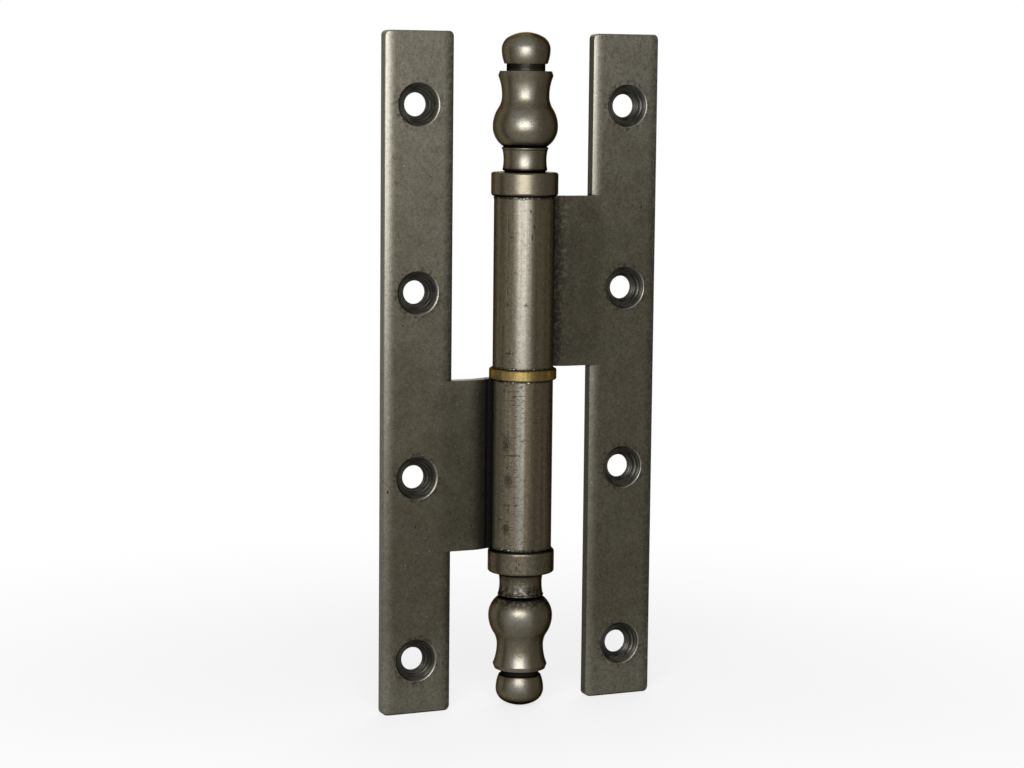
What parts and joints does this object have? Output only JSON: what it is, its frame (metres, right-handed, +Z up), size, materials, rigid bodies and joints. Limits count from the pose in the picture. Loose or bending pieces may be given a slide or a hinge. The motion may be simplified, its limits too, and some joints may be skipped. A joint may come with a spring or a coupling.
{
  "type": "lift-off hinge",
  "caption": "Lift-off door hinge: long strip leaves with countersunk screw holes, knuckles rolled round a pin, a washer between them and turned finials at the ends.",
  "frame": {"origin": "on the pin's axis, halfway up the leaves and halfway through the washer", "axes": "+Z up along the pin, +X across the opened hinge towards the upper leaf, -Y out of the countersunk faces"},
  "size_m": [0.083, 0.019, 0.1902],
  "materials": {
    "patinated_sheet": "aged dark grey-brown patina, satin, worn bright at the edges",
    "patinated_turnings": "aged dark grey-brown patina over turned steel, black in the grooves",
    "bright_steel": "ground",
    "brass": "satin, slightly tarnished"
  },
  "bodies": {
    "lower_leaf": {"lower_leaf": "patinated_sheet", "hinge_pin": "bright_steel", "lower_finial": "patinated_turnings"},
    "washer": {"brass_washer": "brass"},
    "upper_leaf": {"upper_leaf": "patinated_sheet", "upper_finial": "patinated_turnings"}
  },
  "joints": [
    {"name": "swing", "type": "hinge", "parent": "lower_leaf", "child": "washer", "pos_m": [0, 0, 0], "axis": [0, 0, 1], "range_deg": [-180, 155]},
    {"name": "lift_off", "type": "slide", "parent": "washer", "child": "upper_leaf", "axis": [0, 0, 1], "range_m": [0, 0.036]}
  ]
}
